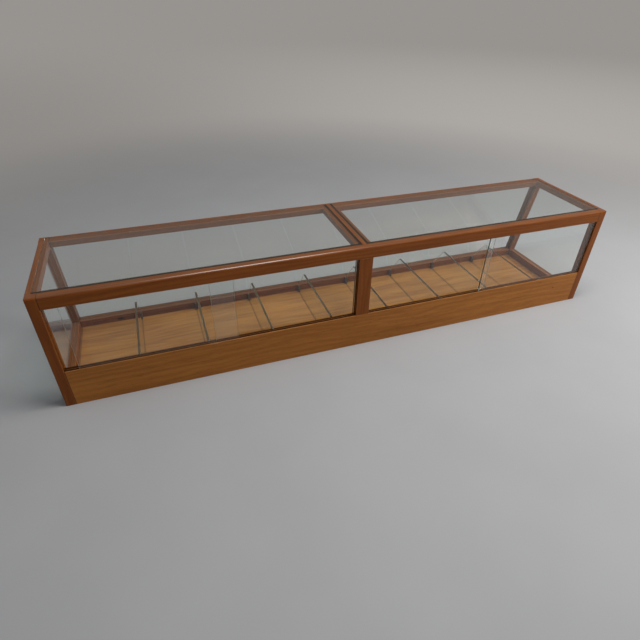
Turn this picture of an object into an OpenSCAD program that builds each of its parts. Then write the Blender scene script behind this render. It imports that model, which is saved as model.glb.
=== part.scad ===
// Counter display case: a glazed wooden frame on a solid plinth, with a sloping customer side,
// four sliding glass doors on the service side and lift-out glass dividers.
// X runs along the case, -Y faces the service side and +Z is up.
// The origin is on the floor, under the middle of the base.

/* [Case] */
// Overall length
length = 1830; // [1200:10:2400]
// Depth of the base, from the service face to the foot of the sloping side
base_depth = 413; // [330:1:520]
// Depth of the top, less than the base because the customer side leans
top_depth = 354; // [290:1:430]
// Overall height
height = 365; // [300:1:460]

/* [Posts] */
// Width of a corner post along the case
post_w = 27; // [22:0.5:40]
// Depth of the posts, and of the rails along the case
post_d = 33; // [27:0.5:45]
// Width of the centre post
centre_w = 44; // [36:0.5:60]

/* [Rails] */
// Height of the front plinth
plinth_h = 122; // [95:1:160]
// Height of the bottom rails at the back and ends
bottom_rail_h = 38; // [31:0.5:60]
// Height of the top front rail
front_rail_h = 38; // [34:1:60]
// Height of the top rails at the back and ends
top_rail_h = 26; // [22:0.5:36]
// Height of the bar under the joint of the two top panes
top_bar_h = 24; // [18:0.5:34]
// Width of that bar
top_bar_w = 52; // [36:0.5:70]
// Length of a tenon that runs along the case
tenon_l = 14; // [8:0.5:18]

/* [Rebates] */
// Width of the outer lip that an end pane bears on
end_wall_lip = 9; // [6:0.5:12]
// Width of the outer lip that the back pane bears on
back_wall_lip = 14; // [8:0.5:16]
// How far the wall glass runs behind its lip
glass_lap = 8; // [5:0.5:10]
// Width of the front lip beside the top glass
front_lip = 22; // [14:0.5:26]
// Width of the end lips beside the top glass
end_lip = 14; // [8:0.5:18]
// Width of the back lip behind the top glass
back_lip = 8; // [5:0.5:12]
// Width of the tongue between the two top panes
tongue_w = 12; // [5:0.5:16]

/* [Glass] */
// Thickness of the top panes
top_glass_t = 6; // [4:0.5:8]
// Thickness of the back and end panes
wall_glass_t = 5; // [3:0.5:6]
// Thickness of the sliding doors
door_t = 5; // [4:0.5:8]
// Thickness of the dividers
divider_t = 6.5; // [3:0.5:8]
// Space left beside a pane in its rebate
glass_gap = 0.5; // [0.3:0.1:1]

/* [Doors] */
// Wood in front of, between and behind the two door tracks
track_land = 3.3; // [2:0.1:5]
// Depth of the bottom tracks, and of the ends that run into the posts
track_depth = 5; // [3:0.5:7]
// Running clearance on each face of a door
run_gap = 0.3; // [0.2:0.05:0.6]
// Overlap of the two doors of a bay when both are shut
door_lap = 16; // [8:1:40]
// How far the left bay's outer and inner doors stand open
left_open = [43, 8]; // [0:1:200]
// How far the right bay's inner and outer doors stand open
right_open = [10, 0]; // [0:1:200]

/* [Dividers] */
// Number of dividers
dividers = 8; // [2:1:12]
// Height of a divider's top edge above the floor
divider_top = 120; // [90:1:160]
// Distance from the back rail's slope to the back end of a divider's top edge
divider_set_back = 52; // [20:1:90]
// Width of a divider clip along the case
clip_w = 12; // [11:0.5:20]
// Depth of a divider clip
clip_d = 9; // [6:0.5:14]

/* [Base] */
// Thickness of the base panel
base_t = 8; // [6:0.5:12]
// Height of the base panel above the floor
base_lift = 2; // [1:0.5:5]
// Width of the rebate that the base panel is screwed up into
base_rebate = 10; // [7.5:0.5:11]

/* [Edges] */
// Radius of the nose along the top front edge
nose_r = 6; // [2:0.5:8]
// Radius of the other outer edges
edge_r = 2.5; // [1:0.25:3]
// Radius of the inner edges
arris_r = 1; // [0.5:0.25:1.5]

/* [Hidden] */
divider_names = [for (i = [1:dividers]) str("divider_", i)];

$fn = 48;
fit = 0.2;                       // clearance round a tenon
shoulder = 4;                    // wood left beside a tenon
cross_tenon_l = 8;               // length of a tenon that runs across the case, in the centre bar
post_tenon_l = 15;               // and of the centre post's lower tenon
bead_gap = 0.2;                  // between a glazing bead and its pane
arc_steps = 4;                   // chords in a rounded edge
past = 20;                       // how far cutting shapes run past what they cut

// Levels
floor_z = base_lift + base_t;                    // top of the base panel
glass_z = height - top_glass_t;                  // underside of the top glass
top_rail_z = height - top_rail_h;
front_rail_z = height - front_rail_h;
top_bar_z = height - top_bar_h;
ledge_z = bottom_rail_h - glass_lap;             // ledge that the wall glass stands on
ceiling_z = top_rail_z + glass_lap;              // rebate ceiling above the wall glass
track_z = plinth_h - track_depth;                // bottom of the lower door tracks
door_in_top = track_depth + 1;                   // a door goes up this far past the rail's underside
upper_track = 2 * door_in_top + 1.5;             // and lifts clear of the lower track

// Places along X
inner_x = length / 2 - post_w;                   // inner faces of the corner posts
lip_x = length / 2 - end_wall_lip;               // inner faces of the end lips
end_pane_x = lip_x - wall_glass_t;               // inner face of an end pane
top_pane_x = length / 2 - end_lip;               // edge of the top rebate
half_centre = centre_w / 2;
half_bar = top_bar_w / 2;
track_end = inner_x + track_depth;               // where a track stops, inside a corner post
track_start = half_centre - track_depth;         // and inside the centre post

// Places along Y. The outer face of the sloping side is at back_y(z).
front_y = -base_depth / 2;
lean = atan((base_depth - top_depth) / height);  // lean of the customer side from upright
function back_y(z) = base_depth / 2 - z * tan(lean);
function inward(z, across) = back_y(z) - across / cos(lean);
function inner_y(z) = inward(z, post_d);
track_w = door_t + 2 * run_gap;
plinth_t = 3 * track_land + 2 * track_w;
plinth_y = front_y + plinth_t;                   // back of the plinth
rail_y = front_y + post_d;                       // back of the front posts and top front rail
top_pane_front = front_y + front_lip;
top_pane_back = back_y(height) - back_lip;
function track_y(n) = front_y + track_land + n * (track_w + track_land);

// Doors: track 0 is the front one, where the outer panes run
door_w = (track_end - track_start - 2 * glass_gap + door_lap) / 2;
outer_shut = track_end - glass_gap - door_w / 2;   // middle of a shut outer door, from the centre
inner_shut = track_start + glass_gap + door_w / 2; // middle of a shut inner door, from the centre

// Dividers
function divider_x(i) = -inner_x + i * 2 * inner_x / (dividers + 1);
clip_top = bottom_rail_h;                        // the clips end level with the rails
clip_back_y = inner_y(clip_top);                 // nearest point of the back rail's inner face
slot_d = clip_d - 2;                             // depth of a clip's slot
divider_front = plinth_y + clip_d - slot_d + glass_gap;
divider_back = clip_back_y - (clip_d - slot_d) - glass_gap;
divider_top_back = inner_y(divider_top) - divider_set_back;

// Fasteners
pin_r = 0.75;
pin_l = 16;
screw_r = 1.75;
head_r = 4;
head_h = 2.4;
screw_cover = 6;                                 // wood above a screw, below the ledge
screw_l = ledge_z - base_lift - screw_cover;
slot_w = 1;
hole_fit = 0.05;                                 // clearance round a pin or screw in wood

// Points on an arc that rounds the corner at "here" between two neighbours
function unit(v) = v / norm(v);
function rounded(before, here, after, r) =
    r == 0 ? [here] :
    let (a = unit(before - here), b = unit(after - here), half = acos(a * b) / 2,
         middle = here + unit(a + b) * r / sin(half),
         from = here + a * r / tan(half) - middle, to = here + b * r / tan(half) - middle)
    [for (i = [0:arc_steps]) middle + r * unit(from * (arc_steps - i) + to * i)];
// An outline whose corners are [a, b, radius]
function outline(corners) = let (n = len(corners), p = [for (c = corners) [c[0], c[1]]])
    [for (i = [0:n - 1]) each rounded(p[(i + n - 1) % n], p[i], p[(i + 1) % n], corners[i][2])];

// A length along X whose YZ section is given
module along_x(x0, x1, corners)
    translate([x0, 0, 0]) rotate([90, 0, 90]) linear_extrude(x1 - x0) polygon(outline(corners));
// A length along Y whose XZ section is given
module along_y(y0, y1, corners)
    translate([0, y1, 0]) rotate([90, 0, 0]) linear_extrude(y1 - y0) polygon(outline(corners));
// A box between two corners, grown by "grow" all round
module block(low, high, grow = 0)
    translate([for (v = low) v - grow]) cube([for (k = [0:2]) high[k] - low[k] + 2 * grow]);
// The same shape on the left (side = -1) or on the right (side = 1)
module on_side(side) { if (side > 0) children(); else mirror([1, 0, 0]) children(); }
module both_sides() { for (side = [-1, 1]) on_side(side) children(); }
// Everything in front of the inner faces of the leaning members, from z0 to z1
module before_back(z0, z1, reach = 0)
    along_x(-length, length, [[front_y - past, z0, 0], [inner_y(z0) + reach, z0, 0],
                              [inner_y(z1) + reach, z1, 0], [front_y - past, z1, 0]]);
// An upright shape that leans with the customer side: its XY section has y = 0 on the outer face
module leaning(z0, z1, corners)
    intersection() {
        translate([0, back_y(0), 0]) rotate([lean, 0, 0]) translate([0, 0, -2 * past])
            linear_extrude(height + 6 * past) polygon(outline(corners));
        block([-length, -base_depth, z0], [length, base_depth, z1]);
    }

// Tenons. Each one's mortise is the same shape grown by "fit". Tenons along the case end in the
// right-hand posts here, and are mirrored for the left; the end rails' tenons are kept short so
// that the two in a post stay apart.
cross_l = (post_d - plinth_t) / 2 + 1;
module plinth_tenon(grow = 0)
    block([inner_x, front_y + track_land, floor_z + shoulder],
          [inner_x + tenon_l, plinth_y - track_land - track_w / 2, track_z - 2 * shoulder], grow);
module front_rail_tenon(grow = 0)
    block([inner_x, front_y + 2 * shoulder, front_rail_z + upper_track + shoulder],
          [inner_x + tenon_l, top_pane_front - shoulder, height - nose_r - shoulder / 2], grow);
module back_tenon(z0, z1, grow = 0) {
    front = post_d - cross_l - shoulder;
    back = 2 * shoulder;
    along_x(inner_x - grow, inner_x + tenon_l + grow,
        [[inward(z0, front) - grow, z0 - grow, 0], [inward(z0, back) + grow, z0 - grow, 0],
         [inward(z1, back) + grow, z1 + grow, 0], [inward(z1, front) - grow, z1 + grow, 0]]);
}
module bottom_back_tenon(grow = 0) back_tenon(floor_z + shoulder, ledge_z - shoulder, grow);
module top_back_tenon(grow = 0) back_tenon(ceiling_z + shoulder / 2, glass_z - shoulder / 2, grow);
module end_tenon(z0, z1, grow = 0)
    intersection() {
        block([inner_x + 2 * shoulder, rail_y - cross_l, z0],
              [length / 2 - 2 * shoulder, base_depth, z1], grow);
        before_back(z0 - grow, z1 + grow, cross_l + grow);
    }
module bottom_end_tenon(grow = 0) end_tenon(floor_z + shoulder, ledge_z - shoulder, grow);
module top_end_tenon(grow = 0) end_tenon(ceiling_z + shoulder / 2, glass_z - shoulder / 2, grow);
module centre_tenon(z0, z1, grow = 0)
    block([2 * shoulder - half_centre, front_y + shoulder, z0],
          [half_centre - 2 * shoulder, plinth_y - shoulder, z1], grow);
module centre_tenons(grow = 0) {
    centre_tenon(plinth_h - post_tenon_l, plinth_h, grow);
    centre_tenon(front_rail_z, front_rail_z + upper_track, grow);
}
module bar_tenons(grow = 0)
    intersection() {
        block([2 * shoulder - half_bar, rail_y - cross_tenon_l, ceiling_z + shoulder / 2],
              [half_bar - 2 * shoulder, base_depth, glass_z - shoulder / 2], grow);
        before_back(top_rail_z, glass_z, cross_tenon_l + grow);
    }

// Cuts that several members share
module track(n, z0, z1)
    both_sides() block([track_start, track_y(n), z0], [track_end, track_y(n) + track_w, z1]);
module tracks(z0, z1) { track(0, z0, z1); track(1, z0, z1); }
module top_pocket()
    block([-top_pane_x, top_pane_front, glass_z], [top_pane_x, top_pane_back, height + past]);
module end_glass_rebate()
    intersection() {
        block([inner_x - past, rail_y - glass_lap, ledge_z], [lip_x, base_depth, ceiling_z]);
        before_back(ledge_z, ceiling_z, glass_lap);
    }
module back_glass_rebate()
    leaning(ledge_z, ceiling_z, [[0, -post_d - past, 0], [inner_x + glass_lap, -post_d - past, 0],
                                 [inner_x + glass_lap, -back_wall_lip, 0], [0, -back_wall_lip, 0]]);

// Pins of the glazing beads, at radius r; their holes are the same with more. They run up or
// down from the beads' faces, in the middle of each bead.
end_run = inner_y(ledge_z) - rail_y;
back_bead_middle = (post_d + back_wall_lip + wall_glass_t) / 2;
module pin(r, z)
    translate([0, 0, z == bottom_rail_h ? z - pin_l : z]) cylinder(h = pin_l, r = r);
module end_pins(r)
    for (part = [1/3, 2/3], z = [bottom_rail_h, top_rail_z])
        translate([(inner_x + end_pane_x) / 2, rail_y + end_run * part, 0]) pin(r, z);
module back_pins(r)
    for (part = [1/4, 3/4], z = [bottom_rail_h, top_rail_z])
        both_sides() translate([inner_x * part, inward(z, back_bead_middle), 0]) pin(r, z);

// Screws of the base panel
screw_x = [for (i = [-2:2]) i * (inner_x - 2 * post_d) / 2];
end_screw_y = [for (part = [1/6, 5/6]) rail_y + end_run * part];
screw_places = concat(
    [for (x = screw_x) [x, plinth_y - base_rebate / 2]],
    [for (x = screw_x) [x, inner_y(floor_z) + base_rebate / 2]],
    [for (x = [-1, 1], y = end_screw_y) [x * (inner_x + base_rebate / 2), y]]);
module at_screws() for (p = screw_places) translate([p[0], p[1], base_lift]) children();
module screw_head(r) cylinder(h = head_h, r1 = r, r2 = screw_r + r - head_r);
module screw_holes() at_screws() cylinder(h = screw_l + 1, r = screw_r + hole_fit);

// ---- Frame members ----

module front_plinth() color("sienna") {
    difference() {
        along_x(-inner_x, inner_x, [
            [front_y, 0, arris_r], [front_y, plinth_h, arris_r], [plinth_y, plinth_h, arris_r],
            [plinth_y, floor_z, 0], [plinth_y - base_rebate, floor_z, 0], [plinth_y - base_rebate, 0, 0]]);
        tracks(track_z, plinth_h + past);
        centre_tenons(fit);
        screw_holes();
    }
    both_sides() plinth_tenon();
}

module back_bottom_rail() color("saddlebrown") {
    difference() {
        along_x(-inner_x, inner_x, [
            [back_y(0), 0, arris_r], [inner_y(floor_z) + base_rebate, 0, 0],
            [inner_y(floor_z) + base_rebate, floor_z, 0], [inner_y(floor_z), floor_z, 0],
            [inner_y(ledge_z), ledge_z, 0], [inward(ledge_z, back_wall_lip), ledge_z, 0],
            [inward(bottom_rail_h, back_wall_lip), bottom_rail_h, arris_r],
            [back_y(bottom_rail_h), bottom_rail_h, edge_r]]);
        back_pins(pin_r + hole_fit);
        screw_holes();
    }
    both_sides() bottom_back_tenon();
}

module end_bottom_rail(side) color("saddlebrown") on_side(side)
    difference() {
        union() {
            intersection() {
                along_y(rail_y, base_depth, [
                    [length / 2, 0, arris_r], [inner_x + base_rebate, 0, 0],
                    [inner_x + base_rebate, floor_z, 0], [inner_x, floor_z, 0],
                    [inner_x, ledge_z, 0], [lip_x, ledge_z, 0],
                    [lip_x, bottom_rail_h, arris_r], [length / 2, bottom_rail_h, edge_r]]);
                before_back(0, bottom_rail_h);
            }
            bottom_end_tenon();
        }
        end_pins(pin_r + hole_fit);
        screw_holes();
    }

module front_post(side) color("brown") on_side(side)
    difference() {
        intersection() {
            translate([0, 0, -past]) linear_extrude(height + 2 * past) polygon(outline([
                [inner_x, front_y, arris_r], [length / 2, front_y, edge_r],
                [length / 2, rail_y, 0], [inner_x, rail_y, 0]]));
            along_x(0, length, [
                [front_y, 0, arris_r], [front_y, height, nose_r], [rail_y, height, 0], [rail_y, 0, 0]]);
            along_y(-base_depth, base_depth, [
                [inner_x, 0, 0], [inner_x, height, 0], [length / 2, height, edge_r],
                [length / 2, 0, arris_r]]);
        }
        tracks(track_z, front_rail_z + upper_track);
        top_pocket();
        end_glass_rebate();
        plinth_tenon(fit);
        front_rail_tenon(fit);
        bottom_end_tenon(fit);
        top_end_tenon(fit);
    }

module back_post(side) color("brown") on_side(side)
    difference() {
        leaning(0, height, [
            [inner_x, 0, arris_r], [inner_x, -post_d, 0], [length / 2, -post_d, 0],
            [length / 2, 0, edge_r]]);
        top_pocket();
        end_glass_rebate();
        back_glass_rebate();
        bottom_back_tenon(fit);
        top_back_tenon(fit);
        bottom_end_tenon(fit);
        top_end_tenon(fit);
    }

// The post is notched over the plinth, and its tail stands on the base panel
module centre_post() color("brown") {
    difference() {
        along_x(-half_centre, half_centre, [
            [front_y, plinth_h, 0], [front_y, front_rail_z, 0], [rail_y, front_rail_z, 0],
            [rail_y, floor_z, 0], [plinth_y, floor_z, 0], [plinth_y, plinth_h, 0]]);
        tracks(plinth_h - past, front_rail_z + past);
    }
    centre_tenons();
}

module top_front_rail() color("sienna") {
    difference() {
        along_x(-inner_x, inner_x, [
            [front_y, front_rail_z, arris_r], [front_y, height, nose_r],
            [top_pane_front, height, arris_r], [top_pane_front, glass_z, 0],
            [rail_y, glass_z, arris_r], [rail_y, front_rail_z, arris_r]]);
        tracks(front_rail_z - past, front_rail_z + upper_track);
        centre_tenons(fit);
        bar_tenons(fit);
    }
    both_sides() front_rail_tenon();
}

module top_back_rail() color("saddlebrown") {
    difference() {
        along_x(-inner_x, inner_x, [
            [back_y(top_rail_z), top_rail_z, arris_r],
            [inward(top_rail_z, back_wall_lip), top_rail_z, arris_r],
            [inward(ceiling_z, back_wall_lip), ceiling_z, 0], [inner_y(ceiling_z), ceiling_z, 0],
            [inner_y(glass_z), glass_z, arris_r], [top_pane_back, glass_z, 0],
            [top_pane_back, height, arris_r], [back_y(height), height, edge_r]]);
        back_pins(pin_r + hole_fit);
        bar_tenons(fit);
    }
    both_sides() top_back_tenon();
}

module end_top_rail(side) color("saddlebrown") on_side(side)
    difference() {
        union() {
            intersection() {
                along_y(rail_y, base_depth, [
                    [length / 2, top_rail_z, arris_r], [lip_x, top_rail_z, arris_r],
                    [lip_x, ceiling_z, 0], [inner_x, ceiling_z, 0], [inner_x, glass_z, arris_r],
                    [top_pane_x, glass_z, 0], [top_pane_x, height, arris_r],
                    [length / 2, height, edge_r]]);
                before_back(top_rail_z, height);
            }
            top_end_tenon();
        }
        end_pins(pin_r + hole_fit);
    }

module top_centre_bar() color("saddlebrown") {
    intersection() {
        along_y(rail_y, base_depth, [
            [-half_bar, top_bar_z, arris_r], [half_bar, top_bar_z, arris_r],
            [half_bar, glass_z, arris_r], [-half_bar, glass_z, arris_r]]);
        before_back(top_bar_z, glass_z);
    }
    block([-tongue_w / 2, top_pane_front, glass_z], [tongue_w / 2, top_pane_back, height]);
    bar_tenons();
}

// ---- Glazing beads, which fill the rebates flush with the frame ----

bead_x = end_pane_x - bead_gap;                  // where the end panes' beads meet their panes
bead_in = back_wall_lip + wall_glass_t + bead_gap; // the same for the back pane's, from the outer face
module end_level_bead(z0, z1)
    intersection() {
        block([inner_x, rail_y, z0], [bead_x, base_depth, z1]);
        before_back(z0, z1, -bead_gap);
    }
module back_level_bead(z0, z1)
    along_x(-inner_x, inner_x, [
        [inner_y(z0), z0, 0], [inward(z0, bead_in), z0, 0], [inward(z1, bead_in), z1, 0],
        [inner_y(z1), z1, 0]]);

module end_beads(side) color("saddlebrown") on_side(side) {
    difference() {
        union() {
            end_level_bead(ledge_z, bottom_rail_h);
            end_level_bead(top_rail_z, ceiling_z);
        }
        end_pins(pin_r + hole_fit);
    }
    block([inner_x, rail_y - glass_lap, ledge_z], [bead_x, rail_y - bead_gap, ceiling_z]);
    difference() {
        intersection() {
            block([inner_x, 0, ledge_z], [bead_x, base_depth, ceiling_z]);
            before_back(ledge_z, ceiling_z, glass_lap - bead_gap);
        }
        before_back(0, height);
    }
}

module back_beads() color("saddlebrown") {
    difference() {
        union() {
            back_level_bead(ledge_z, bottom_rail_h);
            back_level_bead(top_rail_z, ceiling_z);
        }
        back_pins(pin_r + hole_fit);
    }
    both_sides() leaning(ledge_z, ceiling_z, [
        [inner_x + bead_gap, glass_lap - post_d, 0], [inner_x + glass_lap, glass_lap - post_d, 0],
        [inner_x + glass_lap, -bead_in, 0], [inner_x + bead_gap, -bead_in, 0]]);
}

module glazing_pins() color("goldenrod") {
    both_sides() end_pins(pin_r);
    back_pins(pin_r);
}

// ---- Base ----

module base_panel() color("peru") {
    reach_x = inner_x + base_rebate - glass_gap;
    reach_y = inner_y(floor_z) + base_rebate - glass_gap;
    back_notch = inner_y(floor_z) - glass_gap;
    difference() {
        block([-reach_x, plinth_y - base_rebate + glass_gap, base_lift], [reach_x, reach_y, floor_z]);
        both_sides() {
            block([inner_x - glass_gap, front_y, 0], [length / 2, rail_y + glass_gap, floor_z + past]);
            block([inner_x - glass_gap, back_notch, 0], [length / 2, base_depth, floor_z + past]);
        }
        at_screws() {
            screw_head(head_r + hole_fit);
            cylinder(h = base_t + past, r = screw_r + hole_fit);
        }
    }
}

module base_screws() color("goldenrod") at_screws() difference() {
    union() {
        screw_head(head_r);
        cylinder(h = screw_l, r = screw_r);
    }
    block([-head_r, -slot_w / 2, -1], [head_r, slot_w / 2, 1]);
}

// ---- Dividers and their clips ----

// A clip's slot is open at its top and on the side towards the other clip
module clip_slot(x, y0, y1)
    block([x - divider_t / 2 - run_gap, y0, floor_z - 1],
          [x + divider_t / 2 + run_gap, y1, clip_top + past]);

module front_divider_clips() color("darkslategray")
    for (i = [1:dividers]) let (x = divider_x(i)) difference() {
        block([x - clip_w / 2, plinth_y, floor_z], [x + clip_w / 2, plinth_y + clip_d, clip_top]);
        clip_slot(x, plinth_y + clip_d - slot_d, plinth_y + clip_d + past);
    }

module back_divider_clips() color("darkslategray")
    for (i = [1:dividers]) let (x = divider_x(i)) difference() {
        along_x(x - clip_w / 2, x + clip_w / 2, [
            [inner_y(floor_z), floor_z, 0], [inner_y(clip_top), clip_top, 0],
            [clip_back_y - clip_d, clip_top, 0], [clip_back_y - clip_d, floor_z, 0]]);
        clip_slot(x, clip_back_y - clip_d - past, clip_back_y - clip_d + slot_d);
    }

module divider(i) color("lightblue", 0.5)
    along_x(divider_x(i) - divider_t / 2, divider_x(i) + divider_t / 2, [
        [divider_front, floor_z, 0], [divider_front, divider_top, arris_r],
        [divider_top_back, divider_top, arris_r], [divider_back, clip_top, 0],
        [divider_back, floor_z, 0]]);

// ---- Fixed glass ----

module top_glass(side) color("lightblue", 0.5) on_side(side)
    block([tongue_w / 2 + glass_gap, top_pane_front + glass_gap, glass_z],
          [top_pane_x - glass_gap, top_pane_back - glass_gap, height]);

module back_glass() color("lightblue", 0.5)
    leaning(ledge_z, ceiling_z - glass_gap, [
        for (corner = [[-1, wall_glass_t], [1, wall_glass_t], [1, 0], [-1, 0]])
            [corner[0] * (inner_x + glass_lap - glass_gap), -back_wall_lip - corner[1], 0]]);

module end_glass(side) color("lightblue", 0.5) on_side(side)
    intersection() {
        block([end_pane_x, rail_y - glass_lap + glass_gap, ledge_z],
              [lip_x, base_depth, ceiling_z - glass_gap]);
        before_back(ledge_z, ceiling_z, glass_lap - glass_gap);
    }

// ---- Sliding doors ----

module door(x, n) color("lightblue", 0.5)
    block([x - door_w / 2, track_y(n) + run_gap, track_z],
          [x + door_w / 2, track_y(n) + run_gap + door_t, front_rail_z + door_in_top]);

front_plinth();
back_bottom_rail();
end_bottom_rail(-1);  // left_bottom_rail
end_bottom_rail(1);  // right_bottom_rail
front_post(-1);  // front_left_post
front_post(1);  // front_right_post
back_post(-1);  // back_left_post
back_post(1);  // back_right_post
centre_post();
top_front_rail();
top_back_rail();
end_top_rail(-1);  // top_left_rail
end_top_rail(1);  // top_right_rail
top_centre_bar();
end_beads(-1);  // left_end_beads
end_beads(1);  // right_end_beads
back_beads();
glazing_pins();
base_panel();
base_screws();
front_divider_clips();
back_divider_clips();
top_glass(-1);  // top_glass_left
top_glass(1);  // top_glass_right
back_glass();
end_glass(-1);  // left_end_glass
end_glass(1);  // right_end_glass
door(-outer_shut + left_open[0], 0);  // door_left_outer
door(-inner_shut - left_open[1], 1);  // door_left_inner
door(inner_shut + right_open[0], 1);  // door_right_inner
door(outer_shut - right_open[1], 0);  // door_right_outer
for (i = [1:dividers]) divider(i);
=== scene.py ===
import math

import bpy
from bpy.props import FloatProperty, FloatVectorProperty, PointerProperty
from mathutils import Matrix, Vector


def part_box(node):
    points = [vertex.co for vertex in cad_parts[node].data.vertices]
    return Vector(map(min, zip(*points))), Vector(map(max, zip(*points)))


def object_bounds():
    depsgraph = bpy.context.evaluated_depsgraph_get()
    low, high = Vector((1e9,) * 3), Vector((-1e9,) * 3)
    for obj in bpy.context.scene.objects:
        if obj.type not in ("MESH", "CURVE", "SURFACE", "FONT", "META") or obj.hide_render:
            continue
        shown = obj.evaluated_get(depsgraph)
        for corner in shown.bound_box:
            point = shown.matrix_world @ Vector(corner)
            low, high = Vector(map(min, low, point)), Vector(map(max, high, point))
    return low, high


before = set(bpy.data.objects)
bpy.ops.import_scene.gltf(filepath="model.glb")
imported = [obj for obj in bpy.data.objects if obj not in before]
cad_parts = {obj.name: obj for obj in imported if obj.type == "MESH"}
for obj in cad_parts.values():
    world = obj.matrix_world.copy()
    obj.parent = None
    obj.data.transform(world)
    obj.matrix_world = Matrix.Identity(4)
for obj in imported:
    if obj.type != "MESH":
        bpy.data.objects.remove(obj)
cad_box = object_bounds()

bl_info = {
    "name": "Display case",
    "version": (1, 0, 0),
    "blender": (4, 5, 0),
    "location": "View3D > Sidebar > Display case",
    "description": "Wood, plate glass and fittings of a counter display case, with a studio",
    "category": "Object",
}

# The pieces of the case that share a finish, by name. X runs along the case, Y across it, Z up.
FRAME_ALONG = ["top_front_rail", "top_back_rail", "back_bottom_rail", "back_beads"]
FRAME_ACROSS = ["top_left_rail", "top_right_rail", "left_bottom_rail", "right_bottom_rail",
                "top_centre_bar", "left_end_beads", "right_end_beads"]
FRAME_UPRIGHT = ["front_left_post", "front_right_post", "centre_post"]
FRAME_LEANING = ["back_left_post", "back_right_post"]
LEVEL_GLASS = ["top_glass_left", "top_glass_right"]
END_GLASS = ["left_end_glass", "right_end_glass"]
DOORS = ["door_left_outer", "door_left_inner", "door_right_inner", "door_right_outer"]
DIVIDERS = sorted(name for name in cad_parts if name.startswith("divider_"))
CLIPS = ["front_divider_clips", "back_divider_clips"]
BRASSWARE = ["glazing_pins", "base_screws"]


def slope():
    """How far the sloping side leans from upright, from its foot to its head."""
    foot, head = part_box("back_bottom_rail"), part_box("top_back_rail")
    return math.atan((foot[1].y - head[1].y) / (head[0].z - foot[0].z))


# ---- Settings ----


def colour_setting(name, description, default):
    """A colour on the panel."""
    return FloatVectorProperty(name=name, description=description, subtype="COLOR", size=3,
                               min=0, max=1, default=default)


def share_setting(name, description, default):
    """A share from 0 to 1 on the panel."""
    return FloatProperty(name=name, description=description, subtype="FACTOR", min=0, max=1,
                         default=default)


class WoodSettings(bpy.types.PropertyGroup):
    """Colours and figure of the woods."""

    rail_light: colour_setting(
        "Rail light", "Early wood of the rails and posts", (0.240, 0.069, 0.0070))
    rail_dark: colour_setting(
        "Rail dark", "Late wood of the rails and posts", (0.100, 0.0225, 0.0018))
    plinth_light: colour_setting("Plinth light", "Early wood of the plinth", (0.385, 0.150, 0.028))
    plinth_dark: colour_setting("Plinth dark", "Late wood of the plinth", (0.185, 0.058, 0.0080))
    base_light: colour_setting("Base light", "Early wood of the base panel", (0.51, 0.215, 0.040))
    base_dark: colour_setting("Base dark", "Late wood of the base panel", (0.235, 0.080, 0.0110))
    ring_spacing: FloatProperty(
        name="Ring spacing", description="Distance between growth rings", subtype="DISTANCE",
        unit="LENGTH", min=0.001, max=0.03, default=0.013)
    varnish: share_setting("Varnish", "How much clear varnish lies on the wood", 0.32)
    wear: share_setting("Wear", "How far the corners are rubbed", 0.55)
    # How strongly painted crevice shade, with soiling, darkens the wood
    shade_and_soiling: share_setting("Shade and soiling", "How dark the crevices are", 0.75)
    dust: share_setting("Dust", "How much dust lies on level wood", 0.17)


class GlassSettings(bpy.types.PropertyGroup):
    """Tint and edges of the plate glass."""

    face: colour_setting(
        "Face tint", "Tint of the glass seen through its face", (0.955, 0.98, 0.97))
    edge: colour_setting(
        "Edge tint", "Tint of a framed pane seen through its edge", (0.25, 0.42, 0.34))
    free_edge: colour_setting(
        "Free edge tint", "Tint of a door or divider seen through its edge", (0.34, 0.49, 0.41))
    # Painted shade with soiling: darkens the top panes where they lie on the wood
    seat_soiling_and_shade: colour_setting(
        "Seat", "Grime on the top panes where they lie against the wood", (0.050, 0.062, 0.040))
    edge_roughness: share_setting("Edge roughness", "How matt the ground edges are", 0.35)
    arris: FloatProperty(
        name="Arris", description="Width of the rubbed corners of a pane", subtype="DISTANCE",
        unit="LENGTH", min=0.0001, max=0.002, default=0.0004)


class FittingSettings(bpy.types.PropertyGroup):
    """Colours of the clips, pins and screws."""

    clip: colour_setting("Clip", "Paint of the divider clips", (0.045, 0.023, 0.011))
    brass: colour_setting("Brass", "Dull brass of the pins and screws", (0.52, 0.36, 0.14))


class StageSettings(bpy.types.PropertyGroup):
    """The studio: floor, backdrop, lamps and camera."""

    floor: colour_setting("Floor", "Colour of the floor", (0.362, 0.368, 0.378))
    backdrop: colour_setting("Backdrop", "Colour behind the case", (0.310, 0.293, 0.278))
    ambient: FloatProperty(
        name="Ambient", description="Strength of the even light from all round",
        min=0, max=2, default=0.28)
    window: FloatProperty(
        name="Window", description="Power of the lamp on the right", subtype="POWER",
        unit="POWER", min=0, max=500, default=72)
    ceiling: FloatProperty(
        name="Ceiling", description="Power of the lamp overhead", subtype="POWER",
        unit="POWER", min=0, max=500, default=32)
    lens: FloatProperty(
        name="Lens", description="Focal length on a sensor 36 mm wide", subtype="DISTANCE_CAMERA",
        min=10, max=200, default=26.86)
    eye: FloatVectorProperty(
        name="Eye", description="Where the camera stands", subtype="TRANSLATION", unit="LENGTH",
        size=3, default=(-0.5685, -1.3560, 1.0118))
    target: FloatVectorProperty(
        name="Target", description="A point in the middle of the view", subtype="TRANSLATION",
        unit="LENGTH", size=3, default=(-0.1480, -0.2121, 0.1373))
    roll: FloatProperty(
        name="Roll", description="How far the camera is turned about its line of sight",
        subtype="ANGLE", unit="ROTATION", default=math.radians(1.18))


# ---- Shader wiring ----


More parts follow.
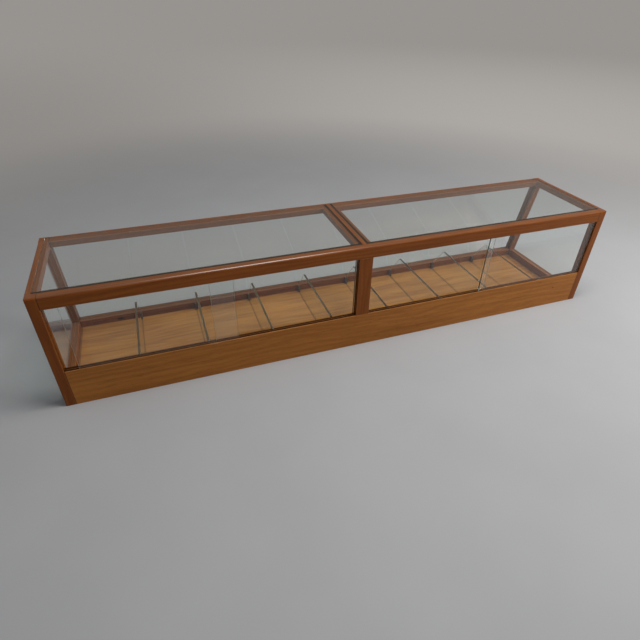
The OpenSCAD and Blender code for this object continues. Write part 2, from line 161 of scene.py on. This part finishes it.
class Wiring:
    """Adds shader nodes to one tree. Most calls give a socket, so a pattern reads as a formula."""

    def __init__(self, tree):
        self.tree = tree

    def node(self, kind, inputs=None, **settings):
        """A node of that kind with its settings, whose inputs are values or sockets."""
        node = self.tree.nodes.new("ShaderNode" + kind)
        for name, value in settings.items():
            setattr(node, name, value)
        for key, value in (inputs or {}).items():
            if isinstance(value, bpy.types.NodeSocket):
                self.tree.links.new(value, node.inputs[key])
            else:
                node.inputs[key].default_value = value
        return node

    def maths(self, operation, *values, clamp=False):
        """One Math node on one to three numbers."""
        return self.node("Math", dict(enumerate(values)), operation=operation,
                         use_clamp=clamp).outputs[0]

    def vector(self, operation, *values, output=0):
        """One Vector Math node."""
        node = self.node("VectorMath", dict(enumerate(values)), operation=operation)
        return node.outputs[output]

    def length(self, vector):
        """How long a vector is."""
        return self.vector("LENGTH", vector, output=1)

    def dot(self, first, second):
        """How far two directions agree: 1 when they are the same."""
        return self.vector("DOT_PRODUCT", first, second, output=1)

    def axes(self, vector):
        """The X, Y and Z of a vector."""
        return self.node("SeparateXYZ", {0: vector}).outputs

    def place(self):
        """The point on its own piece."""
        return self.node("TexCoord").outputs["Object"]

    def normal(self):
        """The direction that the surface faces."""
        return self.node("NewGeometry").outputs["Normal"]

    def use(self, tree, inputs):
        """One use of a node group."""
        return self.node("Group", inputs, node_tree=tree)

    def noise(self, place, fineness, detail, roughness=0.5):
        """Noise with about that many lumps to a metre in each direction."""
        scaled = self.vector("MULTIPLY", place, fineness)
        return self.node("TexNoise", {"Vector": scaled, "Scale": 1, "Detail": detail,
                                      "Roughness": roughness}).outputs["Fac"]

    def ramp(self, value, low, high, to_low=0, to_high=1):
        """A smooth step from low to high, clamped."""
        return self.node("MapRange", {"Value": value, "From Min": low, "From Max": high,
                                      "To Min": to_low, "To Max": to_high},
                         interpolation_type="SMOOTHSTEP").outputs[0]

    def mix(self, share, first, second):
        """The two colours mixed by share: 0 is the first, 1 the second."""
        return self.node("Mix", {0: share, 6: first, 7: second}, data_type="RGBA").outputs[2]


def group(name, inputs, outputs):
    """A node group with those sockets: its tree, wiring, inputs by name, and output node."""
    tree = bpy.data.node_groups.new(name, "ShaderNodeTree")
    kinds = {"value": "NodeSocketFloat", "colour": "NodeSocketColor", "vector": "NodeSocketVector"}
    for side, sockets in (("INPUT", inputs), ("OUTPUT", outputs)):
        for socket_name, kind in sockets.items():
            tree.interface.new_socket(name=socket_name, in_out=side, socket_type=kinds[kind])
    start = tree.nodes.new("NodeGroupInput")
    end = tree.nodes.new("NodeGroupOutput")
    return tree, Wiring(tree), {s.name: s for s in start.outputs if s.name}, end


def once(make):
    """Makes a node group the first time it is asked for, and then gives the same one."""
    def get():
        name = make.__name__
        return bpy.data.node_groups.get(name) or make(name)
    return get


# Noise in the wood, as lumps to a metre along the grain and across it
BENDS = (1.4, 9, 9)
RIPPLES = (5, 60, 60)
BLOTCHES = (2.2, 10, 10)
BANDS = (2.6, 75, 75)
STREAKS = (6, 240, 240)
FIBRES = (16, 800, 800)
PORES = (38, 1100, 1100)
VEINS = (1.7, 95, 95)

DEEP_BROWN = (0.01, 0.004, 0.002, 1)  # the bottom of a pore


@once
def long_grain(name):
    """Wood whose grain runs along X.

    Growth rings are cylinders round a pith that lies off the piece: tone = sin of the distance to
    the pith over the ring spacing, with the distance bent by slow noise. Blotches, bands, streaks,
    fibres, pores and dark veins are noise drawn out along the grain.
    """
    tree, w, i, end = group(
        name,
        {"Vector": "vector", "Light": "colour", "Dark": "colour", "Ring spacing": "value",
         "Figure": "value", "Pores": "value", "Contrast": "value"},
        {"Color": "colour", "Roughness": "value", "Height": "value"})
    place = i["Vector"]
    bend = w.maths("MULTIPLY", w.maths("SUBTRACT", w.noise(place, BENDS, 3), 0.5), 0.11)
    across = w.vector("MULTIPLY", place, (0, 1, 1))
    reach = w.maths("ADD", w.length(across), bend)
    turns = w.maths("ADD", w.maths("DIVIDE", reach, i["Ring spacing"]),
                    w.maths("MULTIPLY", w.noise(place, RIPPLES, 3), 1.6))
    ring = w.maths("MULTIPLY_ADD", w.maths("SINE", w.maths("MULTIPLY", turns, math.tau)), 0.5, 0.5)
    blotch = w.noise(place, BLOTCHES, 3, 0.55)
    band = w.noise(place, BANDS, 4, 0.6)
    streak = w.noise(place, STREAKS, 4, 0.65)
    fibre = w.noise(place, FIBRES, 2, 0.6)
    tone = w.maths("MULTIPLY", ring, i["Figure"])
    for layer, share in ((blotch, 0.85), (band, 0.95), (streak, 0.60), (fibre, 0.30)):
        tone = w.maths("MULTIPLY_ADD", layer, share, tone)
    tone = w.ramp(tone, 1.08, 1.80, -0.5, 0.5)
    tone = w.maths("MULTIPLY_ADD", tone, i["Contrast"], 0.5)
    colour = w.mix(tone, i["Light"], i["Dark"])
    pore = w.ramp(w.noise(place, PORES, 1), 0.60, 0.70)
    pore = w.maths("MULTIPLY", pore, i["Pores"])
    deep = w.mix(0.55, i["Dark"], DEEP_BROWN)
    colour = w.mix(w.maths("MULTIPLY", pore, 0.7), colour, deep)
    vein = w.ramp(w.noise(place, VEINS, 2, 0.5), 0.64, 0.74)
    vein = w.maths("MULTIPLY", vein, i["Contrast"])
    colour = w.mix(w.maths("MULTIPLY", vein, 0.45), colour, deep)
    w.tree.links.new(colour, end.inputs["Color"])
    rough = w.maths("MULTIPLY_ADD", w.maths("SUBTRACT", streak, 0.5), 0.22, 0.40)
    w.tree.links.new(w.maths("MULTIPLY_ADD", pore, 0.15, rough), end.inputs["Roughness"])
    height = w.maths("MULTIPLY_ADD", fibre, 0.35, w.maths("MULTIPLY", ring, 0.25))
    w.tree.links.new(w.maths("SUBTRACT", height, pore), end.inputs["Height"])
    return tree


@once
def wear_and_crevice_shade(name):
    """Where a piece is rubbed, and where painted shade and soiling darken its crevices.

    Wear is where the normal of the surface and the normal rounded over a few millimetres part, and
    the painted shade with soiling is where the piece itself closes off the sky within the reach, by
    ambient occlusion. Noise breaks both up.
    """
    tree, w, i, end = group(
        name,
        {"Vector": "vector", "Round": "value", "Reach": "value"},
        {"Wear": "value", "Shade and soiling": "value"})
    round_normal = w.node("Bevel", {"Radius": i["Round"]}, samples=4).outputs[0]
    apart = w.maths("SUBTRACT", 1, w.dot(w.normal(), round_normal))
    patchy = w.noise(i["Vector"], (60, 60, 60), 4, 0.65)
    wear = w.maths("MULTIPLY", w.ramp(apart, 0.02, 0.16), w.ramp(patchy, 0.30, 0.58))
    w.tree.links.new(wear, end.inputs["Wear"])
    # Painted shade with soiling: ambient occlusion within the reach darkens the colour
    open_sky = w.node("AmbientOcclusion", {"Distance": i["Reach"]}, samples=6,
                      only_local=True).outputs["AO"]
    uneven = w.maths("MULTIPLY_ADD", w.noise(i["Vector"], (90, 90, 90), 3), 0.3, 0.85)
    shade_and_soiling = w.maths("MULTIPLY", w.ramp(open_sky, 0.15, 0.85, 1, 0), uneven, clamp=True)
    w.tree.links.new(shade_and_soiling, end.inputs["Shade and soiling"])
    return tree


@once
def pane_edge(name):
    """Where a pane shows its ground edge: where its normal is well away from the face's normal."""
    tree, w, i, end = group(
        name, {"Normal": "vector", "Face": "vector"}, {"Edge": "value"})
    facing = w.maths("ABSOLUTE", w.dot(i["Normal"], i["Face"]))
    w.tree.links.new(w.maths("LESS_THAN", facing, 0.85), end.inputs["Edge"])
    return tree


def blank(name):
    """A new material with an empty tree, as (material, wiring, output node)."""
    material = bpy.data.materials.new(name)
    material.use_nodes = True
    material.node_tree.nodes.clear()
    wiring = Wiring(material.node_tree)
    return material, wiring, wiring.node("OutputMaterial")


def finish_with(material, wiring, shader, output):
    """Joins the shader to the material's output."""
    wiring.tree.links.new(shader, output.inputs["Surface"])
    return material


def dress(node_name, material):
    """Gives a CAD piece its material."""
    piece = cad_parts[node_name]
    piece.data.materials.clear()
    piece.data.materials.append(material)


def rgba(colour):
    """A colour with full alpha."""
    return (*colour, 1)


# ---- Finishes ----

# Turns that bring a piece's length onto X, where the grain runs
ALONG = (0, 0, 0)
ACROSS = (0, 0, -math.pi / 2)
UPRIGHT = (0, math.pi / 2, 0)
LEANING = (-slope(), math.pi / 2, 0)

# How strongly growth rings, pores and the light and dark of each wood show
FRAME_GRAIN = {"Figure": 0.28, "Pores": 0.6, "Contrast": 0.46}
PLINTH_GRAIN = {"Figure": 0.24, "Pores": 0.5, "Contrast": 0.42}
BASE_GRAIN = {"Figure": 0.16, "Pores": 0.3, "Contrast": 0.8}
# The fineness of the grain across a board, where 1 is the frame's and less is coarser
PLINTH_FINENESS = 0.7
BASE_FINENESS = 0.55

SHADE_AND_MARK_COLOUR = (0.20, 0.14, 0.20)      # colour of the painted crevice shade and of the dark marks, as shares of the dark wood's
DUST = (0.20, 0.155, 0.115, 1)  # colour of dust
ROUND = 0.003                   # corners are rubbed this far in
CREVICE = 0.007                 # painted shade and soiling reach this far from a crevice
VARNISH, POLISH = 0.10, 0.28    # roughness of the varnish, and of a rail that hands have polished

# Marks on the wood. Each is full up to the first distance and gone at the second, in metres.
JOINT_LINE = (0.0008, 0.0026)
UNDER_DIVIDER_LINE = (0.0035, 0.0065)
# painted shade with soiling on the top panes
SEAT_SOILING_AND_SHADE = (0.0070, 0.0105)
UNDARKENED_STRIP = (0.0020, 0.0035)  # in front of the door tracks
TRACK_DARKENING = (0.0055, 0.0070)  # down from the top of the plinth


def wood(name, light, dark, grain, turn, number, marks, fineness=1, polished=None):
    """Varnished wood.

    number picks another stretch of the tree for each piece, each of marks gives a mask of where
    the wood is darkened, and polished one of where it shines.
    """
    settings = bpy.context.scene.case_wood
    material, w, output = blank(name)
    place = w.place()
    # Where the piece was cut from the tree: this far along it and to two sides of the pith
    pith = (0.73 * number, 0.11 + 0.031 * (number % 5), 0.07 + 0.023 * (number % 7))
    grained = w.node("Mapping", {
        "Vector": place, "Rotation": turn, "Location": pith,
        "Scale": (1, fineness, fineness)}).outputs[0]
    figured = w.use(long_grain(), {
        "Vector": grained, "Light": rgba(light), "Dark": rgba(dark),
        "Ring spacing": settings.ring_spacing, **grain})
    wear_and_shade = w.use(wear_and_crevice_shade(), {"Vector": place, "Round": ROUND, "Reach": CREVICE})
    rubbed = tuple(min(1, 1.5 * c + 0.05) for c in light)
    colour = w.mix(w.maths("MULTIPLY", wear_and_shade.outputs["Wear"], settings.wear),
                   figured.outputs["Color"], rgba(rubbed))
    # Painted shade: crevices darkened by ambient occlusion, with soiling; the dark marks take the
    # same colour
    shade_and_mark_colour = tuple(share * c for share, c in zip(SHADE_AND_MARK_COLOUR, dark))
    colour = w.mix(w.maths("MULTIPLY", wear_and_shade.outputs["Shade and soiling"], settings.shade_and_soiling), colour, rgba(shade_and_mark_colour))
    colour = w.mix(w.maths("MULTIPLY", settled(w, place), settings.dust), colour, DUST)
    for mark in marks:
        colour = w.mix(mark(w, place), colour, rgba(shade_and_mark_colour))
    bump = w.node("Bump", {"Height": figured.outputs["Height"],
                           "Strength": 0.25, "Distance": 0.0004})
    coat = w.maths("MULTIPLY", w.maths("SUBTRACT", 1, wear_and_shade.outputs["Shade and soiling"]), settings.varnish)
    if polished:
        coat = w.maths("MAXIMUM", coat, polished(w))
    shader = w.node("BsdfPrincipled", {
        "Base Color": colour, "Roughness": figured.outputs["Roughness"],
        "Normal": bump.outputs[0], "Coat Weight": coat,
        "Coat Roughness": POLISH if polished else VARNISH,
        "Specular IOR Level": 0.05})
    return finish_with(material, w, shader.outputs[0], output)


def settled(w, place):
    """Where dust settles: on what faces up, in clouds."""
    up = w.axes(w.normal())["Z"]
    clouds = w.ramp(w.noise(place, (14, 14, 14), 3), 0.25, 0.65, 0.6, 1)
    return w.maths("MULTIPLY", w.ramp(up, 0.6, 0.95), clouds)


def rounded_edge(w):
    """Where a piece that runs along X is rounded over: it faces neither level nor straight up."""
    _, y, z = w.axes(w.normal())
    return w.ramp(w.maths("ABSOLUTE", w.maths("MULTIPLY", y, z)), 0.10, 0.30)


def end_joints(w, place):
    """A dark line at each end of a piece that runs along the case, where it meets the posts."""
    x = w.axes(place)["X"]
    left = w.maths("SUBTRACT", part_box("front_right_post")[0].x, w.maths("ABSOLUTE", x))
    return w.ramp(left, *JOINT_LINE, 0.85, 0)


def door_tracks(w, place):
    """The plinth's top round the door tracks, darkened everywhere but a strip along its front edge.
    """
    low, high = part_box("front_plinth")
    _, y, z = w.axes(place)
    behind = w.ramp(y, *(low.y + distance for distance in UNDARKENED_STRIP))
    above = w.ramp(z, *(high.z - distance for distance in reversed(TRACK_DARKENING)))
    return w.maths("MULTIPLY", w.maths("MULTIPLY", behind, above), 0.72)


def divider_lines(w, place):
    """Dark lines on the base panel, one under each divider: the distance to the nearest divider."""
    middles = [sum(corner.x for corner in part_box(name)) / 2 for name in DIVIDERS]
    pitch = middles[1] - middles[0]
    along = w.maths("SUBTRACT", w.axes(place)["X"], middles[0] - pitch / 2)
    past = w.maths("FLOORED_MODULO", along, pitch)
    apart = w.maths("ABSOLUTE", w.maths("SUBTRACT", past, pitch / 2))
    return w.maths("MULTIPLY", w.ramp(apart, *UNDER_DIVIDER_LINE, 1, 0), 0.5)


def spot(offset, radius, stretch, strength):
    """A mark: a round dark spot at offset from the middle of the case, drawn out along X."""
    def mask(w, place):
        away = w.vector("MULTIPLY", w.vector("SUBTRACT", place, offset), (1 / stretch, 1, 1))
        return w.ramp(w.length(away), 0.5 * radius, 1.3 * radius, strength, 0)
    return mask


def plate_glass(name, face_normal, edge_tint, seated=False):
    """Clear glass with green ground edges. Lamps and bounced light pass straight through it."""
    settings = bpy.context.scene.case_glass
    material, w, output = blank(name)
    coordinates = w.node("TexCoord")
    edge = w.use(pane_edge(), {
        "Normal": coordinates.outputs["Normal"], "Face": face_normal}).outputs["Edge"]
    colour = w.mix(edge, rgba(settings.face), rgba(edge_tint))
    # Painted shade with soiling where the top panes lie on the wood
    if seated:
        colour = w.mix(against_wood(w, coordinates.outputs["Object"]), colour, rgba(settings.seat_soiling_and_shade))
    smears = w.ramp(w.noise(coordinates.outputs["Object"], (9, 9, 9), 4), 0.50, 0.75, 0, 0.012)
    rough = w.maths("MULTIPLY_ADD", edge, settings.edge_roughness, smears)
    shader = w.node("BsdfPrincipled", {
        "Base Color": colour, "Roughness": rough, "IOR": 1.46, "Transmission Weight": 1.0})
    clear = w.node("BsdfTransparent", {"Color": rgba(settings.face)})
    rays = w.node("LightPath")
    passing = w.maths("MAXIMUM", rays.outputs["Is Shadow Ray"], rays.outputs["Is Diffuse Ray"])
    both = w.node("MixShader", {0: passing, 1: shader.outputs[0], 2: clear.outputs[0]})
    return finish_with(material, w, both.outputs[0], output)


def against_wood(w, place):
    """A dark line on the top panes along the front rail and on both sides of the tongue: soiling
    where they lie on the wood, and painted shade of the ledge seen through them.
    """
    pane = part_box("top_glass_right")
    x, y, _ = w.axes(place)
    from_front = w.maths("SUBTRACT", y, pane[0].y)
    from_tongue = w.maths("SUBTRACT", w.maths("ABSOLUTE", x), pane[0].x)
    nearest = w.maths("MINIMUM", from_front, from_tongue)
    return w.ramp(nearest, *SEAT_SOILING_AND_SHADE, 1, 0)


BARE_METAL = (0.22, 0.19, 0.16, 1)


def painted_metal(name, colour):
    """Matt paint that is rubbed through to dull metal at its corners."""
    material, w, output = blank(name)
    place = w.place()
    wear_and_shade = w.use(wear_and_crevice_shade(), {"Vector": place, "Round": ROUND / 2, "Reach": 0.006})
    speckle = w.noise(place, (220, 220, 220), 4, 0.6)
    paint = w.mix(w.ramp(speckle, 0.35, 0.7), rgba(colour), rgba([1.9 * c for c in colour]))
    paint = w.mix(w.maths("MULTIPLY", wear_and_shade.outputs["Wear"], 0.7), paint, BARE_METAL)
    rough = w.ramp(speckle, 0.3, 0.7, 0.42, 0.62)
    bump = w.node("Bump", {"Height": speckle, "Strength": 0.3, "Distance": 0.0002})
    shader = w.node("BsdfPrincipled", {"Base Color": paint, "Roughness": rough,
                                       "Specular IOR Level": 0.2, "Normal": bump.outputs[0]})
    return finish_with(material, w, shader.outputs[0], output)


def dull_brass(name, colour):
    """Brass that has gone brown in patches."""
    material, w, output = blank(name)
    patches = w.ramp(w.noise(w.place(), (260, 260, 260), 4, 0.6), 0.35, 0.7)
    tarnished = w.mix(patches, rgba(colour), rgba([0.45 * c for c in colour]))
    rough = w.maths("MULTIPLY_ADD", patches, 0.25, 0.28)
    shader = w.node("BsdfPrincipled", {"Base Color": tarnished, "Roughness": rough,
                                       "Metallic": 1.0})
    return finish_with(material, w, shader.outputs[0], output)


# ---- Operators ----


class CASE_OT_frame_wood(bpy.types.Operator):
    """Varnish the rails, posts and glazing beads, each with its own stretch of grain"""

    bl_idname = "displaycase.frame_wood"
    bl_label = "Frame wood"

    def execute(self, context):
        settings = context.scene.case_wood
        turns = [(FRAME_ALONG, ALONG), (FRAME_ACROSS, ACROSS), (FRAME_UPRIGHT, UPRIGHT),
                 (FRAME_LEANING, LEANING)]
        members = [(name, turn) for names, turn in turns for name in names]
        for number, (name, turn) in enumerate(members, 1):
            marks = [end_joints] if turn == ALONG else []
            if name == "back_bottom_rail":
                marks.append(self.knot())
            polished = rounded_edge if name == "top_front_rail" else None
            dress(name, wood(name + "_wood", settings.rail_light, settings.rail_dark,
                             FRAME_GRAIN, turn, number, marks, polished=polished))
        return {"FINISHED"}

    def knot(self):
        """A dark knot low on the inner face of the back rail, near its left end."""
        low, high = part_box("back_bottom_rail")
        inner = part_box("back_divider_clips")[1].y
        return spot((low.x + 0.145, inner, 0.55 * high.z), radius=0.008, stretch=1.6, strength=0.85)


class CASE_OT_plinth_wood(bpy.types.Operator):
    """Varnish the plinth"""

    bl_idname = "displaycase.plinth_wood"
    bl_label = "Plinth wood"

    def execute(self, context):
        settings = context.scene.case_wood
        low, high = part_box("front_plinth")
        nail_hole = spot((high.x - 0.115, low.y, 0.62 * high.z),
                         radius=0.003, stretch=1, strength=0.8)
        dress("front_plinth", wood("plinth_wood", settings.plinth_light, settings.plinth_dark,
                                   PLINTH_GRAIN, ALONG, 3, [door_tracks, end_joints, nail_hole],
                                   fineness=PLINTH_FINENESS))
        return {"FINISHED"}


class CASE_OT_base_wood(bpy.types.Operator):
    """Finish the base panel"""

    bl_idname = "displaycase.base_wood"
    bl_label = "Base wood"

    def execute(self, context):
        settings = context.scene.case_wood
        dress("base_panel", wood("base_wood", settings.base_light, settings.base_dark,
                                 BASE_GRAIN, ALONG, 8, [divider_lines],
                                 fineness=BASE_FINENESS))
        return {"FINISHED"}


class CASE_OT_glass(bpy.types.Operator):
    """Glaze the top, back, ends and doors, and the dividers between the compartments"""

    bl_idname = "displaycase.glass"
    bl_label = "Glass"

    def execute(self, context):
        lean = slope()
        settings = context.scene.case_glass
        kinds = [("level_glass", LEVEL_GLASS, (0, 0, 1), settings.edge),
                 ("end_glass", END_GLASS, (1, 0, 0), settings.edge),
                 ("divider_glass", DIVIDERS, (1, 0, 0), settings.free_edge),
                 ("door_glass", DOORS, (0, 1, 0), settings.free_edge),
                 ("sloping_glass", ["back_glass"], (0, math.cos(lean), math.sin(lean)),
                  settings.edge)]
        for kind, names, face_normal, edge_tint in kinds:
            material = plate_glass(kind, face_normal, edge_tint, seated=names == LEVEL_GLASS)
            for name in names:
                dress(name, material)
                rub_corners(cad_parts[name], settings.arris)
        return {"FINISHED"}


def rub_corners(pane, width):
    """Takes the sharp corners off a pane: its loose triangles are joined, then bevelled."""
    joined = pane.modifiers.new("joined", "WELD")
    joined.merge_threshold = width / 20
    rubbed = pane.modifiers.new("rubbed", "BEVEL")
    rubbed.width = width
    rubbed.segments = 1
    rubbed.limit_method = "ANGLE"
    rubbed.angle_limit = math.radians(40)


class CASE_OT_fittings(bpy.types.Operator):
    """Finish the divider clips, the glazing pins and the base screws"""

    bl_idname = "displaycase.fittings"
    bl_label = "Fittings"

    def execute(self, context):
        settings = context.scene.case_fittings
        paint = painted_metal("clip_paint", settings.clip)
        brass = dull_brass("dull_brass", settings.brass)
        for name in CLIPS:
            dress(name, paint)
        for name in BRASSWARE:
            dress(name, brass)
        return {"FINISHED"}


# The lamps' places in lengths of the case, their sizes in metres and their colours
WINDOW_PLACE, WINDOW_SIZE, WINDOW_COLOUR = (1.25, -0.66, 0.9), (1.6, 1.3), (1.0, 0.98, 0.95)
CEILING_PLACE, CEILING_SIZE, CEILING_COLOUR = (0.06, -0.19, 1.50), (1.1, 0.6), (1.0, 0.96, 0.93)
SKY_COLOUR = (0.95, 0.97, 1.0, 1)

# The floor's width in lengths of the case, and shares of that width: where the floor fades into
# the backdrop, and where the backdrop's own glow dies away
FLOOR_LENGTHS = 12
FADE = (0.05, 0.15)
GLOW_END = (0.13, 0.45)


def area_lamp(name, place, aim, size, power, colour):
    """A rectangular lamp at place that faces aim."""
    data = bpy.data.lights.new(name, "AREA")
    data.shape = "RECTANGLE"
    data.size, data.size_y = size
    data.energy = power
    data.color = colour
    lamp = bpy.data.objects.new(name, data)
    lamp.location = place
    lamp.rotation_mode = "QUATERNION"
    lamp.rotation_quaternion = (Vector(aim) - Vector(place)).to_track_quat("-Z", "Y")
    bpy.context.scene.collection.objects.link(lamp)
    return lamp


class CASE_OT_studio(bpy.types.Operator):
    """Lay the floor, set the backdrop and hang the lamps"""

    bl_idname = "displaycase.studio"
    bl_label = "Studio"

    def execute(self, context):
        settings = context.scene.case_stage
        low, high = cad_box
        length = high.x - low.x
        middle = (low + high) / 2
        self.lay_floor(settings, low.z, FLOOR_LENGTHS * length)
        self.paint_sky(context.scene, settings)
        window = area_lamp("window", [share * length for share in WINDOW_PLACE], middle,
                           WINDOW_SIZE, settings.window, WINDOW_COLOUR)
        window.visible_glossy = False
        area_lamp("ceiling", [share * length for share in CEILING_PLACE], middle,
                  CEILING_SIZE, settings.ceiling, CEILING_COLOUR)
        context.scene.view_settings.view_transform = "Standard"
        return {"FINISHED"}

    def lay_floor(self, settings, level, width):
        """A square floor that the case stands on, faintly clouded.

        It fades into the backdrop, whose glow is brighter on the window's side except far away:
        painted window light.
        """
        half = width / 2
        corners = [(-half, -half, level), (half, -half, level), (half, half, level),
                   (-half, half, level)]
        mesh = bpy.data.meshes.new("floor")
        mesh.from_pydata(corners, [], [(0, 1, 2, 3)])
        floor = bpy.data.objects.new("floor", mesh)
        bpy.context.scene.collection.objects.link(floor)
        material, w, output = blank("floor_paint")
        place = w.place()
        cloud = w.noise(place, (3, 3, 3), 4)
        darker = rgba([0.96 * c for c in settings.floor])
        shader = w.node("BsdfPrincipled", {
            "Base Color": w.mix(w.ramp(cloud, 0.3, 0.7), rgba(settings.floor), darker),
            "Roughness": 0.75, "Specular IOR Level": 0.1})
        away = w.length(place)
        # Painted light: the backdrop's emission is brighter towards the window lamp
        towards_window = w.maths("DIVIDE", w.axes(place)["X"], away)
        glow = w.maths("MULTIPLY_ADD", w.ramp(towards_window, -0.6, 0.9, -0.15, 0.36),
                       w.ramp(away, *(share * width for share in GLOW_END), 1, 0), 1)
        far = w.node("Emission", {"Color": rgba(settings.backdrop), "Strength": glow})
        fade = w.ramp(away, *(share * width for share in FADE))
        both = w.node("MixShader", {0: fade, 1: shader.outputs[0], 2: far.outputs[0]})
        mesh.materials.append(finish_with(material, w, both.outputs[0], output))

    def paint_sky(self, scene, settings):
        """An even light from all round, which the camera, gloss and glass see as the backdrop."""
        world = bpy.data.worlds.new("studio")
        scene.world = world
        world.use_nodes = True
        world.node_tree.nodes.clear()
        w = Wiring(world.node_tree)
        rays = w.node("LightPath")
        seen = w.maths("MAXIMUM", rays.outputs["Is Camera Ray"], rays.outputs["Is Glossy Ray"])
        seen = w.maths("MAXIMUM", seen, rays.outputs["Is Transmission Ray"])
        even = w.node("Background", {"Color": SKY_COLOUR, "Strength": settings.ambient})
        backdrop = w.node("Background", {"Color": rgba(settings.backdrop), "Strength": 1.0})
        mixed = w.node("MixShader", {0: seen, 1: even.outputs[0], 2: backdrop.outputs[0]})
        output = w.node("OutputWorld")
        w.tree.links.new(mixed.outputs[0], output.inputs["Surface"])


class CASE_OT_camera(bpy.types.Operator):
    """Stand the camera in front of the service side, to the left and above"""

    bl_idname = "displaycase.camera"
    bl_label = "Camera"

    def execute(self, context):
        settings = context.scene.case_stage
        data = bpy.data.cameras.new("camera")
        data.sensor_width = 36
        data.lens = settings.lens
        camera = bpy.data.objects.new("camera", data)
        eye = Vector(settings.eye)
        upright = (Vector(settings.target) - eye).to_track_quat("-Z", "Y").to_matrix()
        turned = upright @ Matrix.Rotation(settings.roll, 3, "Z")
        camera.matrix_world = Matrix.Translation(eye) @ turned.to_4x4()
        context.scene.collection.objects.link(camera)
        context.scene.camera = camera
        return {"FINISHED"}


class CASE_PT_panel(bpy.types.Panel):
    """Lists the settings and the steps"""

    bl_idname = "CASE_PT_panel"
    bl_label = "Display case"
    bl_space_type = "VIEW_3D"
    bl_region_type = "UI"
    bl_category = "Display case"

    def draw(self, context):
        for pointer in POINTERS:
            settings = getattr(context.scene, pointer)
            box = self.layout.box()
            for name in settings.__annotations__:
                box.prop(settings, name)
        for step in STEPS:
            self.layout.operator(step.bl_idname)


STEPS = (CASE_OT_camera, CASE_OT_studio, CASE_OT_frame_wood, CASE_OT_plinth_wood,
         CASE_OT_base_wood, CASE_OT_glass, CASE_OT_fittings)
POINTERS = {"case_wood": WoodSettings, "case_glass": GlassSettings,
            "case_fittings": FittingSettings, "case_stage": StageSettings}


def register():
    for settings in POINTERS.values():
        bpy.utils.register_class(settings)
    for step in STEPS:
        bpy.utils.register_class(step)
    bpy.utils.register_class(CASE_PT_panel)
    for pointer, settings in POINTERS.items():
        setattr(bpy.types.Scene, pointer, PointerProperty(type=settings))


def unregister():
    for pointer in POINTERS:
        delattr(bpy.types.Scene, pointer)
    bpy.utils.unregister_class(CASE_PT_panel)
    for step in reversed(STEPS):
        bpy.utils.unregister_class(step)
    for settings in reversed(list(POINTERS.values())):
        bpy.utils.unregister_class(settings)


def main():
    """Runs every step in order."""
    register()
    bpy.ops.displaycase.camera()
    bpy.ops.displaycase.studio()
    bpy.ops.displaycase.frame_wood()
    bpy.ops.displaycase.plinth_wood()
    bpy.ops.displaycase.base_wood()
    bpy.ops.displaycase.glass()
    bpy.ops.displaycase.fittings()


if __name__ == "__main__":
    main()
